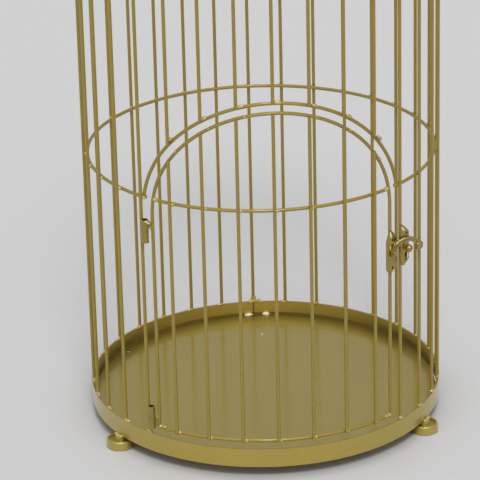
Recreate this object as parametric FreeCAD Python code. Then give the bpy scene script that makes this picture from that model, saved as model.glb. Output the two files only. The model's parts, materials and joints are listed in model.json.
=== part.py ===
"""Wedding card box: a gold wire birdcage with an arched, latched door, on a shallow round tray.

Millimetres, +Z up. The origin is on the cage's axis, in the plane that the feet stand on.
The door faces -Y. Angles round the cage are in degrees from the front, positive towards +X.
"""
import FreeCAD, Part
import math
import os

from FreeCAD import Vector

# Wire
wire_d = 2.5
bar_count = 32
weld_gap = 0.05
butt_gap = 0.2
bar_short = 0.3

# Base tray
base_d = 262.0
band_h = 14.3
band_t = 1.5
seam_w = 0.4
seam_depth = 1.0
floor_t = 1.0
floor_drop = 10.9
floor_fit = 0.2
floor_hole_d = 3.6
floor_hole_inset = 5.0
floor_hole_angle = -125.0

# Feet
foot_count = 3
foot_first_angle = 60.0
foot_d = 20.5
foot_h = 9.5
foot_edge = 0.6
foot_taper = 0.3
foot_rim_h = 6.8
foot_rim_t = 2.2
foot_dish_h = 5.0
foot_post_d = 8.0
foot_land_d = 5.0
foot_bulge = 0.7

# Rings and dome
mid_ring_h = 183.2
shoulder_ring_h = 366.4
dome_above_ring = 6.0
dome_r = 112.0
dome_turn = 72.0
bar_end_r = 16.0
crown_ring_r = 36.0

# Crown
cap_d = 50.0
cap_t = 1.6
cap_boss_d = 11.0
cap_boss_h = 5.0
loop_d = 36.0
loop_wire_d = 4.0
loop_seat = 1.0

# Doorway and door
door_spaces = 8
doorway_top_h = 262.5
door_side_gap = 5.9
door_top_gap = 7.3
door_rail_h = 5.2
door_bar_below_rail = 1.0
arch_spans = 8

# Hinges
hinge_from_stile = 4.3
hinge_outside_bars = 1.25
knuckle_d = 5.2
knuckle_h = 8.6
knuckle_gap = 0.2
upper_hinge_h = 159.3
lower_hinge_h = 13.3
tab_t = 1.2
tab_h = 5.0
leaf_h = 8.0
leaf_hole_d = 1.3
leaf_hole_rise = 2.4
pin_d = 3.4
pin_clear = 0.05
pin_recess = 2.4

# Latch
latch_h = 134.3
plate_t = 1.3
plate_bevel = 1.1
plate_edge_t = 0.45
plate_peak_h = 8.4
plate_lobe_h = 5.0
plate_swell = 0.8
nail_hole_d = 1.8
hook_plate_w = 12.0
hook_plate_high = 17.6
hook_plate_low = -16.2
hook_plate_lean = -1.4
hook_nail_high = 9.8
hook_nail_low = -11.6
catch_plate_left = 1.6
catch_plate_right = 8.1
catch_plate_high = 20.2
catch_plate_low = -13.0
catch_tip_high_s = -0.9
catch_tip_low_s = 1.7
catch_nail_s = 4.2
catch_nail_z = 12.0
keyhole_w = 2.2
keyhole_h = 6.4
keyhole_s = 3.4
keyhole_z = -5.6
stud_s = 2.6
stud_rise = 1.5
stud_head_d = 5.6
stud_neck_d = 2.8
stud_neck_l = 0.7
hook_eye_d = 6.4
hook_eye_t = 1.8
hook_top_s = 0.2
hook_top_rise = 8.2
hook_end_s = 17.0
hook_end_rise = -1.4
hook_arm_w = 3.6
hook_arm_t = 1.5
hook_groove_w = 1.1
hook_groove_depth = 0.5
hook_crank_start = 1.5
hook_crank_end = 5.8
hook_end_d = 7.0
hook_end_t = 2.3
hook_end_round = 0.9
hook_end_inset = 0.1
hook_clear = 0.4
boss_d = 5.0
boss_h = 0.4
rivet_d = 2.0
rivet_head_d = 4.2
rivet_head_h = 0.9
running_clear = 0.05

# Radii and levels that follow from the sizes above
wire_r = wire_d / 2
bar_r = base_d / 2 - wire_r
ring_r = bar_r - wire_d - weld_gap
space = 360.0 / bar_count
doorway_half = door_spaces * space / 2
band_z = foot_h
top_z = band_z + band_h
mid_ring_z = top_z + mid_ring_h
shoulder_ring_z = top_z + shoulder_ring_h
bend_z = shoulder_ring_z + dome_above_ring
arch_r = ring_r * math.sin(math.radians(doorway_half))
arch_z = top_z + doorway_top_h - arch_r
frame_r = arch_r - door_side_gap
frame_z = top_z + doorway_top_h - door_top_gap - frame_r
frame_half = math.degrees(math.asin(frame_r / ring_r))
rail_z = top_z + door_rail_h
latch_z = top_z + latch_h

AXIS = Vector(0, 0, 1)
CENTRE = Vector(0, 0, 0)


def turned(shape, angle):
    """A copy of a shape made at the front, turned round the cage's axis."""
    copy = shape.copy()
    copy.rotate(CENTRE, AXIS, angle)
    return copy


def round_face(centre, normal, radius):
    return Part.Face(Part.Wire(Part.makeCircle(radius, centre, normal)))


def straight_bar(low_z, high_z):
    """A vertical wire on the bars' circle, at the front."""
    return Part.makeCylinder(wire_r, high_z - low_z, Vector(0, -bar_r, low_z))


def ring_wire(radius, z, start, end):
    """Wire bent round the cage's axis, from one angle to another."""
    section = round_face(Vector(0, -radius, z), Vector(1, 0, 0), wire_r)
    return turned(section.revolve(CENTRE, AXIS, end - start), start)


def swept_wire(edges, start, direction):
    """Round wire along a path of tangent lines and arcs."""
    section = Part.Wire(Part.makeCircle(wire_r, start, direction))
    return Part.Wire(edges).makePipeShell([section], True, False)


def arc_from_tangent(start, tangent, end):
    """The circular arc that leaves start along tangent and reaches end."""
    chord = end - start
    along = Vector(chord).normalize()
    half_turn = tangent.getAngle(along) / 2
    side = (tangent - along * tangent.dot(along)).normalize()
    middle = start + chord * 0.5 + side * (chord.Length / 2 * math.tan(half_turn))
    return Part.Arc(start, middle, end).toShape()


def biarc(start, start_tangent, end, end_tangent):
    """Two arcs that join two points with the given tangents."""
    span = end - start
    both = start_tangent + end_tangent
    spread = 2 * (1 - start_tangent.dot(end_tangent))
    reach = span.dot(both)
    arm = (math.sqrt(reach * reach + spread * span.dot(span)) - reach) / spread
    joint = (start + end + (start_tangent - end_tangent) * arm) * 0.5
    first = arc_from_tangent(start, start_tangent, joint)
    back = arc_from_tangent(end, end_tangent * -1, joint)
    middle = back.valueAt((back.FirstParameter + back.LastParameter) / 2)
    return [first, Part.Arc(joint, middle, end).toShape()]


def arch_point(radius, centre_z, turn):
    """A point of a half circle seen from the front, laid on the rings' cylinder, and its tangent."""
    x = radius * math.cos(turn)
    y = -math.sqrt(ring_r ** 2 - x ** 2)
    dx = -radius * math.sin(turn)
    slope = Vector(dx, -x * dx / y, radius * math.cos(turn))
    return Vector(x, y, centre_z + radius * math.sin(turn)), slope.normalize()


def arch_edges(radius, centre_z, first_turn):
    """Tangent arcs of an arch from right to left, with the same angle left off at each end."""
    step = (math.pi - 2 * first_turn) / arch_spans
    points = [arch_point(radius, centre_z, first_turn + step * n) for n in range(arch_spans + 1)]
    edges = []
    for (start, start_tangent), (end, end_tangent) in zip(points, points[1:]):
        edges += biarc(start, start_tangent, end, end_tangent)
    return edges, points


def arch_height(radius, centre_z, angle):
    """Height of an arch where a bar at this angle crosses it."""
    x = ring_r * math.sin(math.radians(angle))
    return centre_z + math.sqrt(radius ** 2 - x ** 2)


def base_band():
    """Rolled strip, whose butt seam at the back is welded outside and still shows as a groove inside."""
    outer = Part.makeCylinder(base_d / 2, band_h, Vector(0, 0, band_z))
    inner = Part.makeCylinder(base_d / 2 - band_t, band_h, Vector(0, 0, band_z))
    seam_corner = Vector(-seam_w / 2, base_d / 2 - 2 * band_t, band_z)
    seam = Part.makeBox(seam_w, band_t + seam_depth, band_h, seam_corner)
    return outer.cut(inner).cut(seam)


def base_floor():
    """Sheet disc inside the band, with the small hole that the tray hung by while it was painted."""
    low_z = top_z - floor_drop - floor_t
    edge_r = base_d / 2 - band_t - floor_fit
    disc = Part.makeCylinder(edge_r, floor_t, Vector(0, 0, low_z))
    hole = Part.makeCylinder(floor_hole_d / 2, floor_t, Vector(0, floor_hole_inset - edge_r, low_z))
    return disc.cut(turned(hole, floor_hole_angle))


def feet():
    """Turned feet: a tapered disc with a round rim, dished inside it round a post that carries the band."""
    low_r = foot_d / 2
    rim_r = low_r - foot_taper
    rim_mid = Vector(rim_r - foot_rim_t / 2, 0, foot_rim_h)
    rim_out = Vector(rim_r, 0, foot_rim_h - foot_rim_t / 2)
    rim_in = Vector(rim_r - foot_rim_t, 0, foot_rim_h - foot_rim_t / 2)
    dish_out = Vector(rim_r - foot_rim_t, 0, foot_dish_h)
    post_low = Vector(foot_post_d / 2, 0, foot_dish_h)
    post_high = Vector(foot_land_d / 2, 0, foot_h)
    across = post_high - post_low
    bulge = Vector(across.z, 0, -across.x).normalize() * foot_bulge
    wall = [Vector(0, 0, 0), Vector(low_r - foot_edge, 0, 0), Vector(low_r, 0, foot_edge), rim_out]
    outline = Part.makePolygon(wall).Edges
    outline.append(Part.Arc(rim_out, rim_mid, rim_in).toShape())
    outline += Part.makePolygon([rim_in, dish_out, post_low]).Edges
    outline.append(Part.Arc(post_low, (post_low + post_high) * 0.5 + bulge, post_high).toShape())
    outline += Part.makePolygon([post_high, Vector(0, 0, foot_h), wall[0]]).Edges
    foot = Part.Face(Part.Wire(outline)).revolve(CENTRE, AXIS, 360)
    foot.translate(Vector(0, -(base_d - band_t) / 2, 0))
    angles = [foot_first_angle + 360.0 / foot_count * n for n in range(foot_count)]
    return Part.makeCompound([turned(foot, angle) for angle in angles])


def dome_run(radius):
    """Height of a bar's axis on the straight run up to the crown, at this radius."""
    turn = math.radians(dome_turn)
    run_r = bar_r - dome_r * (1 - math.cos(turn))
    run_z = bend_z + dome_r * math.sin(turn)
    return run_z + (run_r - radius) / math.tan(turn)


def domed_bar(low_z):
    """A bar that stands up the cage, bends over the dome and runs in under the crown cap."""
    turn = math.radians(dome_turn)
    foot = Vector(0, -bar_r, low_z)
    bend = Vector(0, -bar_r, bend_z)
    half = Vector(0, -bar_r + dome_r * (1 - math.cos(turn / 2)), bend_z + dome_r * math.sin(turn / 2))
    run = Vector(0, -bar_r + dome_r * (1 - math.cos(turn)), bend_z + dome_r * math.sin(turn))
    tip = Vector(0, -bar_end_r, dome_run(bar_end_r))
    edges = [
        Part.LineSegment(foot, bend).toShape(),
        Part.Arc(bend, half, run).toShape(),
        Part.LineSegment(run, tip).toShape(),
    ]
    return swept_wire(edges, foot, AXIS)


def doorway_arch():
    """Cage wire round the top of the doorway; its feet stand on the cut ends of the middle ring."""
    first_turn = math.asin((mid_ring_z + wire_r + weld_gap - arch_z) / arch_r)
    edges, points = arch_edges(arch_r, arch_z, first_turn)
    start, direction = points[0]
    return swept_wire(edges, start, direction)


def crown_ring():
    """Small ring under the bars, near the top of the dome."""
    turn = math.radians(dome_turn)
    drop = wire_d + weld_gap
    z = dome_run(crown_ring_r) - drop * math.sin(turn)
    return ring_wire(crown_ring_r - drop * math.cos(turn), z, 0, 360)


def cap_under(radius):
    """Height of the crown cap's underside, which lies on the bars."""
    return dome_run(radius) + (wire_r + weld_gap) / math.sin(math.radians(dome_turn))


def cap_top():
    return cap_under(0) + cap_t + cap_boss_h


def crown_cap():
    """Spun cap over the bars' ends, with a boss for the hanging loop."""
    rim = Vector(cap_d / 2, 0, cap_under(cap_d / 2))
    rim_top = rim + Vector(0, 0, cap_t)
    boss_foot = Vector(cap_boss_d / 2, 0, cap_under(cap_boss_d / 2) + cap_t)
    boss_top = Vector(cap_boss_d / 2, 0, cap_top())
    under = Vector(0, 0, cap_under(0))
    corners = [under, rim, rim_top, boss_foot, boss_top, Vector(0, 0, cap_top()), under]
    return Part.Face(Part.makePolygon(corners)).revolve(CENTRE, AXIS, 360)


def hanging_loop():
    """Upright wire loop, flat where it is welded on the boss."""
    centre = Vector(0, 0, cap_top() + (loop_d + loop_wire_d) / 2 - loop_seat)
    loop = Part.makeTorus(loop_d / 2, loop_wire_d / 2, centre, Vector(0, 1, 0))
    below = Part.makeBox(2 * loop_d, 2 * loop_d, loop_d, Vector(-loop_d, -loop_d, cap_top() - loop_d))
    return loop.cut(below)


def door_frame():
    """One wire: right stile, arch and left stile."""
    foot_z = rail_z - wire_r
    edges, points = arch_edges(frame_r, frame_z, 0)
    right, up = points[0]
    left = points[-1][0]
    right_foot = Vector(right.x, right.y, foot_z)
    left_foot = Vector(left.x, left.y, foot_z)
    edges.insert(0, Part.LineSegment(right_foot, right).toShape())
    edges.append(Part.LineSegment(left, left_foot).toShape())
    return swept_wire(edges, right_foot, up)


def door_cross_wire(z):
    """Bent wire across the door between its stiles, at this height."""
    rise = max(z - frame_z, 0)
    stile_x = math.sqrt(frame_r ** 2 - rise ** 2)
    lean = stile_x / frame_r
    stile_angle = math.degrees(math.asin(stile_x / ring_r))
    butt = math.degrees((wire_r / lean + butt_gap) / ring_r)
    end = stile_angle - butt
    end -= math.degrees(rise * wire_r / (stile_x * ring_r))
    return ring_wire(ring_r, z, -end, end)


def door_bar(angle):
    high = arch_height(frame_r, frame_z, angle) - bar_short
    return turned(straight_bar(rail_z - door_bar_below_rail, high), angle)


def upper_bar(angle):
    low = arch_height(arch_r, arch_z, angle) + bar_short
    return turned(domed_bar(low), angle)


# Hinges are made at the front and turned to the left stile of the doorway
hinge_x = hinge_from_stile
hinge_y = -(bar_r + hinge_outside_bars)


def knuckle(low_z, stile_x, stile_y, height, hole_d=0):
    """A thin tube on the hinge's axis with a tab of this height that reaches a stile and may have a hole."""
    base = Vector(hinge_x, hinge_y, low_z)
    tube = Part.makeCylinder(knuckle_d / 2, knuckle_h, base)
    to_stile = Vector(stile_x - hinge_x, stile_y - hinge_y, 0)
    reach = to_stile.Length - wire_r - weld_gap
    tab_z = (knuckle_h - height) / 2
    tab = Part.makeBox(reach, tab_t, height, Vector(0, -tab_t / 2, tab_z))
    if hole_d:
        hole_at = Vector((knuckle_d / 2 + reach) / 2, -tab_t / 2, tab_z + leaf_hole_rise)
        tab = tab.cut(Part.makeCylinder(hole_d / 2, tab_t, hole_at, Vector(0, 1, 0)))
    tab.rotate(CENTRE, AXIS, math.degrees(math.atan2(to_stile.y, to_stile.x)))
    tab.translate(base)
    bore = Part.makeCylinder(pin_d / 2 + pin_clear, knuckle_h, base)
    return turned(tube.fuse(tab).cut(bore), -doorway_half)


def hinge_levels(split_h, door_above):
    """Lower ends of the cage's and the door's knuckle either side of a hinge's split."""
    above = top_z + split_h + knuckle_gap / 2
    below = top_z + split_h - knuckle_gap / 2 - knuckle_h
    if door_above:
        return below, above
    return above, below


def cage_knuckles():
    levels = [hinge_levels(upper_hinge_h, True)[0], hinge_levels(lower_hinge_h, False)[0]]
    return Part.makeCompound([knuckle(level, 0, -bar_r, tab_h) for level in levels])


def door_knuckles():
    """The door's knuckles: a tab on the upper one, and a leaf as tall as the tube on the lower one."""
    stile = math.radians(doorway_half - frame_half)
    stile_x = ring_r * math.sin(stile)
    stile_y = -ring_r * math.cos(stile)
    upper = knuckle(hinge_levels(upper_hinge_h, True)[1], stile_x, stile_y, tab_h)
    lower = knuckle(hinge_levels(lower_hinge_h, False)[1], stile_x, stile_y, leaf_h, leaf_hole_d)
    return Part.makeCompound([upper, lower])


def hinge_pins():
    """Pins set back inside the open ends of the knuckles."""
    pins = []
    length = 2 * (knuckle_h - pin_recess) + knuckle_gap
    for split_h in (upper_hinge_h, lower_hinge_h):
        base = Vector(hinge_x, hinge_y, top_z + split_h - length / 2)
        pins.append(turned(Part.makeCylinder(pin_d / 2, length, base), -doorway_half))
    return Part.makeCompound(pins)


# The latch is made at the front, outwards being -Y, and turned to the right stile of the doorway
stile_turn = math.radians(frame_half - doorway_half)
door_stile_s = ring_r * math.sin(stile_turn)
hook_plate_in = ring_r * math.cos(stile_turn) + wire_r + weld_gap
hook_plate_out = hook_plate_in + plate_t
catch_plate_in = bar_r + wire_r + weld_gap
catch_plate_out = catch_plate_in + plate_t
eye_in = hook_plate_out + boss_h + running_clear
eye_out = eye_in + hook_eye_t
arm_in = catch_plate_out + hook_clear
OUTWARD = Vector(0, -1, 0)
UP = Vector(0, 0, 1)


def latch_point(s, z, out):
    """A point across, up from the latch's height and out from the cage's axis."""
    return Vector(s, -out, latch_z + z)


def latch_rod(s, z, diameter, inner, outer):
    """A round rod or hole that points out of the cage."""
    return Part.makeCylinder(diameter / 2, outer - inner, latch_point(s, z, inner), OUTWARD)


def at_latch(shape):
    return turned(shape, doorway_half)


def swelled_arc(start, end, middle_of_plate):
    """The swelled edge of a plate's pointed end."""
    middle = (start + end) * 0.5
    middle += (middle - middle_of_plate).normalize() * plate_swell
    return Part.Arc(start, middle, end).toShape()


def plate_outline(left, right, high, low, inset, out):
    """Straight sides, a tall peak above and a low lobe below, drawn in by an inset."""
    middle = latch_point((left + right) / 2, (high[1] + low[1]) / 2, out)

    def drawn_in(tip):
        corner = latch_point(tip[0], tip[1], out)
        return corner + (middle - corner).normalize() * 2 * inset

    top = drawn_in(high)
    bottom = drawn_in(low)
    right_high = latch_point(right - inset, high[1] - plate_peak_h, out)
    right_low = latch_point(right - inset, low[1] + plate_lobe_h, out)
    left_high = latch_point(left + inset, high[1] - plate_peak_h, out)
    left_low = latch_point(left + inset, low[1] + plate_lobe_h, out)
    return Part.Wire([
        swelled_arc(right_high, top, middle),
        swelled_arc(top, left_high, middle),
        Part.LineSegment(left_high, left_low).toShape(),
        swelled_arc(left_low, bottom, middle),
        swelled_arc(bottom, right_low, middle),
        Part.LineSegment(right_low, right_high).toShape(),
    ])


def pointed_plate(left, right, high, low, inner):
    """Pressed plate: an upright edge, then a bevel up to the raised face. Tips are given as (s, z)."""
    edge_out = inner + plate_edge_t
    edge = Part.Face(plate_outline(left, right, high, low, 0, inner)).extrude(OUTWARD * plate_edge_t)
    foot = plate_outline(left, right, high, low, 0, edge_out)
    face = plate_outline(left, right, high, low, plate_bevel, inner + plate_t)
    return edge.fuse(Part.makeLoft([foot, face], True, True)).removeSplitter()


def hook_plate():
    """Plate on the door's right stile, with the boss that the hook turns on and two nail holes."""
    left = door_stile_s - hook_plate_w / 2
    right = door_stile_s + hook_plate_w / 2
    tip_s = door_stile_s + hook_plate_lean
    plate = pointed_plate(left, right, (tip_s, hook_plate_high), (tip_s, hook_plate_low), hook_plate_in)
    boss = latch_rod(door_stile_s, 0, boss_d, hook_plate_in, eye_in - running_clear)
    rivet_hole = latch_rod(door_stile_s, 0, rivet_d + 2 * running_clear, hook_plate_in, eye_in)
    plate = plate.fuse(boss).cut(rivet_hole)
    for hole_z in (hook_nail_high, hook_nail_low):
        plate = plate.cut(latch_rod(door_stile_s, hole_z, nail_hole_d, hook_plate_in, hook_plate_out))
    return at_latch(plate)


def hook_rivet():
    """Rivet through the hook's eye, with a domed head."""
    head_in = eye_out + running_clear
    shank = latch_rod(door_stile_s, 0, rivet_d, hook_plate_in, head_in + rivet_head_h / 2)
    head = latch_rod(door_stile_s, 0, rivet_head_d, head_in, head_in + rivet_head_h)
    head = head.makeFillet(rivet_head_h / 2, [head.Edges[0]])
    return at_latch(shank.fuse(head))


def arm_band(width):
    """The hook's outline, cut straight out: up from the eye to the top, and down a wider arc to the end."""
    eye = latch_point(door_stile_s, 0, eye_in)
    top = latch_point(hook_top_s, hook_top_rise, eye_in)
    end = latch_point(hook_end_s, hook_end_rise, eye_in)

    def offset_arc(tip, side):
        fall = top.z - tip.z
        radius = ((tip.x - top.x) ** 2 + fall ** 2) / (2 * fall)
        centre = top - UP * radius
        from_centre = (tip - centre).normalize()
        half_way = (from_centre + UP).normalize()
        reach = radius + side * width / 2
        return centre + from_centre * reach, centre + half_way * reach, centre + UP * reach

    eye_over, rise_over, top_over = offset_arc(eye, 1)
    end_over, fall_over, _ = offset_arc(end, 1)
    eye_under, rise_under, top_under = offset_arc(eye, -1)
    end_under, fall_under, _ = offset_arc(end, -1)
    edges = [
        Part.Arc(eye_over, rise_over, top_over).toShape(),
        Part.Arc(top_over, fall_over, end_over).toShape(),
        Part.LineSegment(end_over, end_under).toShape(),
        Part.Arc(end_under, fall_under, top_under).toShape(),
        Part.Arc(top_under, rise_under, eye_under).toShape(),
        Part.LineSegment(eye_under, eye_over).toShape(),
    ]
    return Part.Face(Part.Wire(edges)).extrude(OUTWARD * (arm_in - eye_in + 2 * hook_arm_t))


def cranked_strip(inner, outer):
    """A tall strip that steps out from the hook's eye to clear the catch plate, from one depth to another."""
    steps = [
        (door_stile_s - hook_end_s, eye_in),
        (door_stile_s + hook_crank_start, eye_in),
        (door_stile_s + hook_crank_end, arm_in),
        (hook_end_s + hook_end_d, arm_in),
    ]
    low_z = hook_end_rise - hook_end_d
    near = [latch_point(s, low_z, out + inner) for s, out in steps]
    far = [latch_point(s, low_z, out + outer) for s, out in reversed(steps)]
    section = Part.Face(Part.makePolygon(near + far + near[:1]))
    return section.extrude(UP * (hook_top_rise + hook_arm_w - low_z))


def latch_hook():
    """Swing hook: an eye, a cranked and grooved arm that passes over the stud, and a pad to lift it by."""
    arm = arm_band(hook_arm_w).common(cranked_strip(0, hook_arm_t))
    open_top = cranked_strip(hook_arm_t - hook_groove_depth, hook_arm_t + hook_eye_t)
    groove = arm_band(hook_groove_w).common(open_top)
    eye = latch_rod(door_stile_s, 0, hook_eye_d, eye_in, eye_out)
    pad_in = arm_in + hook_end_inset
    pad = latch_rod(hook_end_s, hook_end_rise, hook_end_d, pad_in, pad_in + hook_end_t)
    pad = pad.makeFillet(hook_end_round, [pad.Edges[0]])
    hole = latch_rod(door_stile_s, 0, rivet_d + 2 * running_clear, eye_in, eye_out)
    return at_latch(arm.cut(groove).fuse(eye).fuse(pad).cut(hole))


def catch_plate():
    """Plate on the outside of the doorway's right stile, with a nail hole, a keyhole and the stud's hole."""
    high = (catch_tip_high_s, catch_plate_high)
    low = (catch_tip_low_s, catch_plate_low)
    plate = pointed_plate(-catch_plate_left, catch_plate_right, high, low, catch_plate_in)
    plate = plate.cut(latch_rod(stud_s, stud_rise, stud_neck_d, catch_plate_in, catch_plate_out))
    plate = plate.cut(latch_rod(catch_nail_s, catch_nail_z, nail_hole_d, catch_plate_in, catch_plate_out))
    slot_h = keyhole_h - keyhole_w
    corner = latch_point(keyhole_s - keyhole_w / 2, keyhole_z - slot_h / 2, catch_plate_out)
    plate = plate.cut(Part.makeBox(keyhole_w, plate_t, slot_h, corner))
    for end in (-slot_h / 2, slot_h / 2):
        plate = plate.cut(latch_rod(keyhole_s, keyhole_z + end, keyhole_w, catch_plate_in, catch_plate_out))
    return at_latch(plate)


def catch_stud():
    """Stud that the hook passes over: a neck set in the plate, and a ball head."""
    head_out = catch_plate_out + stud_neck_l + stud_head_d / 2
    neck = latch_rod(stud_s, stud_rise, stud_neck_d, catch_plate_in, head_out)
    head = Part.makeSphere(stud_head_d / 2, latch_point(stud_s, stud_rise, head_out))
    return at_latch(neck.fuse(head))


def cage_bars():
    """Bars that stand on the band, from the doorway's right stile round the back to its left stile."""
    bar = domed_bar(top_z)
    full = bar_count - door_spaces + 1
    return {f"cage_bar_{n + 1:02d}": turned(bar, doorway_half + space * n) for n in range(full)}


def front_bars():
    """Bars of the door, and the short bars above the doorway's arch."""
    bars = {}
    for n in range(1, door_spaces):
        angle = space * n - doorway_half
        bars[f"door_bar_{n}"] = door_bar(angle)
        bars[f"upper_bar_{n}"] = upper_bar(angle)
    return bars


nodes = {
    "base_band": base_band(),
    "base_floor": base_floor(),
    "feet": feet(),
    "mid_ring": ring_wire(ring_r, mid_ring_z, doorway_half, 360 - doorway_half),
    "shoulder_ring": ring_wire(ring_r, shoulder_ring_z, 0, 360),
    "doorway_arch": doorway_arch(),
    "crown_ring": crown_ring(),
    "crown_cap": crown_cap(),
    "hanging_loop": hanging_loop(),
    "door_frame": door_frame(),
    "door_ring": door_cross_wire(mid_ring_z),
    "door_rail": door_cross_wire(rail_z),
    "cage_knuckles": cage_knuckles(),
    "door_knuckles": door_knuckles(),
    "hinge_pins": hinge_pins(),
    "hook_plate": hook_plate(),
    "hook_rivet": hook_rivet(),
    "latch_hook": latch_hook(),
    "catch_plate": catch_plate(),
    "catch_stud": catch_stud(),
}
nodes.update(cage_bars())
nodes.update(front_bars())

os.makedirs("parts", exist_ok=True)
for name, shape in nodes.items():
    shape.exportStep(f"parts/{name}.step")
print(f"{len(nodes)} nodes, {sum(len(shape.Solids) for shape in nodes.values())} solids")
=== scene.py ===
# %% [markdown]
# # A wedding card box in gold wire
# The box is a birdcage: upright wires on a shallow round tray, rings that hold them, a dome, and an
# arched door with two small hinges and a hook latch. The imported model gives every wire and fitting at
# its real size and place. This file gives them their paint, their welds and the fine work of the latch.

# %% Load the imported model
import json
import math
import random

import bmesh
import bpy
from mathutils import Matrix, Vector, noise

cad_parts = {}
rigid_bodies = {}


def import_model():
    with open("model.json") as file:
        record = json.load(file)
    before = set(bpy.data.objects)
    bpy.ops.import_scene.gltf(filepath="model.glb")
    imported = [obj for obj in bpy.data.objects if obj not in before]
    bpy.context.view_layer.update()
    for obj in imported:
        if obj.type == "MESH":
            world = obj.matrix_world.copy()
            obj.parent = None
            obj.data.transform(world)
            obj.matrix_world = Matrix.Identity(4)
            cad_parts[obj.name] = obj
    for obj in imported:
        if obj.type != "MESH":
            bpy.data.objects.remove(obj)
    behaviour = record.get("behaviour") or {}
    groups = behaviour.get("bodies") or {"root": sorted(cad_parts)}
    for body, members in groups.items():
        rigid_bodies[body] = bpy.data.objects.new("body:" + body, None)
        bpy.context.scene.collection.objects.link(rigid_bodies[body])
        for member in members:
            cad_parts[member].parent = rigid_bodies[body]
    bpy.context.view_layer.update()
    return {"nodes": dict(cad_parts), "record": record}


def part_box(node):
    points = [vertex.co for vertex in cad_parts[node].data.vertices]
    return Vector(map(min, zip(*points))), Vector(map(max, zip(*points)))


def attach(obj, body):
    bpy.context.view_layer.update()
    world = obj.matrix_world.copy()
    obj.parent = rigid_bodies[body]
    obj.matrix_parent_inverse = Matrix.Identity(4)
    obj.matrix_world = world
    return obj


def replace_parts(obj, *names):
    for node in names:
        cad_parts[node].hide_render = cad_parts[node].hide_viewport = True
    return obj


for leftover in list(bpy.data.objects):
    bpy.data.objects.remove(leftover)
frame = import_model()
nodes = frame["nodes"]
MM = 0.001

# %% [markdown]
# ## Places round the cage
# Everything on a birdcage is known by its angle, its distance from the axis and its height. One small
# function turns those into a point, so that a weld can be set where a bar crosses a ring. The angle is
# counted from the door, in degrees, towards the latch. Where a wire stands is read from its own mesh.

# %% Points by angle, radius and height
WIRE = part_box("door_rail")[1].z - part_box("door_rail")[0].z
SAME_LEVEL = 0.05 * MM


def around(angle, radius, height):
    turn = math.radians(angle)
    return Vector((radius * math.sin(turn), -radius * math.cos(turn), height))


def angle_of(point):
    return math.degrees(math.atan2(point.x, -point.y))


def level_of(node):
    """Height of the middle of a level ring."""
    low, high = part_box(node)
    return (low.z + high.z) / 2


def lower_end(points, slack):
    """Middle of the points that lie within the slack of the lowest one."""
    level = min(point.z for point in points)
    ring = [point for point in points if point.z - level < slack]
    return sum(ring, Vector()) / len(ring)


def bar_foot(bar):
    """Middle of an upright bar's lower end."""
    return lower_end([vertex.co for vertex in nodes[bar].data.vertices], SAME_LEVEL)


def bar_angle(bar):
    return angle_of(bar_foot(bar))


def stile_foot(node, side):
    """Middle of an arched wire's lower end on the left (side -1) or the right (side 1)."""
    half = [vertex.co for vertex in nodes[node].data.vertices if vertex.co.x * side > 0]
    return lower_end(half, WIRE / 4)


# %% Circles and levels of the cage
cage_bars = sorted(name for name in nodes if name.startswith("cage_bar_"))
upper_bars = sorted(name for name in nodes if name.startswith("upper_bar_"))
door_bars = sorted(name for name in nodes if name.startswith("door_bar_"))
BAR_RADIUS = bar_foot(cage_bars[0]).xy.length
RING_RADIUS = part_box("shoulder_ring")[1].x - WIRE / 2
TOUCH_RADIUS = (BAR_RADIUS + RING_RADIUS) / 2
TRAY_TOP = bar_foot(cage_bars[0]).z
MID_LEVEL = level_of("mid_ring")
SHOULDER_LEVEL = level_of("shoulder_ring")
RAIL_LEVEL = level_of("door_rail")
print("bar circle", round(BAR_RADIUS / MM, 2), "ring circle", round(RING_RADIUS / MM, 2))
print("wire", round(WIRE / MM, 2), "middle ring at", round(MID_LEVEL / MM, 1))

# %% [markdown]
# ## The camera
# The photograph looks down at the tray with a long lens, so the uprights stay almost parallel. A camera
# is three directions and a place: build the direction that it looks along, then its right and its up,
# and roll those two a little, because the picture was not held quite level.

# %% Camera at the photograph's place
CAMERA_AT = Vector((-0.1388, -2.0807, 1.0108))
CAMERA_YAW = math.radians(3.35)
CAMERA_PITCH = math.radians(22.855)
CAMERA_ROLL = math.radians(-1.391)
LENS_MM = 228.5
SENSOR_MM = 36.0


def photo_camera():
    level = Vector((math.sin(CAMERA_YAW), math.cos(CAMERA_YAW), 0))
    ahead = level * math.cos(CAMERA_PITCH) - Vector((0, 0, math.sin(CAMERA_PITCH)))
    right = Vector((math.cos(CAMERA_YAW), -math.sin(CAMERA_YAW), 0))
    up = right.cross(ahead)
    rolled_right = right * math.cos(CAMERA_ROLL) + up * math.sin(CAMERA_ROLL)
    rolled_up = up * math.cos(CAMERA_ROLL) - right * math.sin(CAMERA_ROLL)
    data = bpy.data.cameras.new("photo_camera")
    data.lens = LENS_MM
    data.sensor_width = SENSOR_MM
    camera = bpy.data.objects.new("photo_camera", data)
    turn = Matrix((rolled_right, rolled_up, -ahead)).transposed()
    camera.matrix_world = Matrix.Translation(CAMERA_AT) @ turn.to_4x4()
    bpy.context.scene.collection.objects.link(camera)
    bpy.context.scene.camera = camera
    return camera


camera = photo_camera()
print("camera", [round(value, 3) for value in camera.location], "lens", LENS_MM)

# %% [markdown]
# ## The paper
# The cage stands on plain pale paper. One flat square runs out far past the picture on every side, so its
# own colour is the background, and no backdrop with a bend behind the cage is needed.

# %% Paper floor
FLOOR_HALF = 40.0
PAPER = (0.615, 0.615, 0.624, 1)
PAPER_ROUGH = 0.9
PAPER_GLOSS = 0.1


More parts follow.
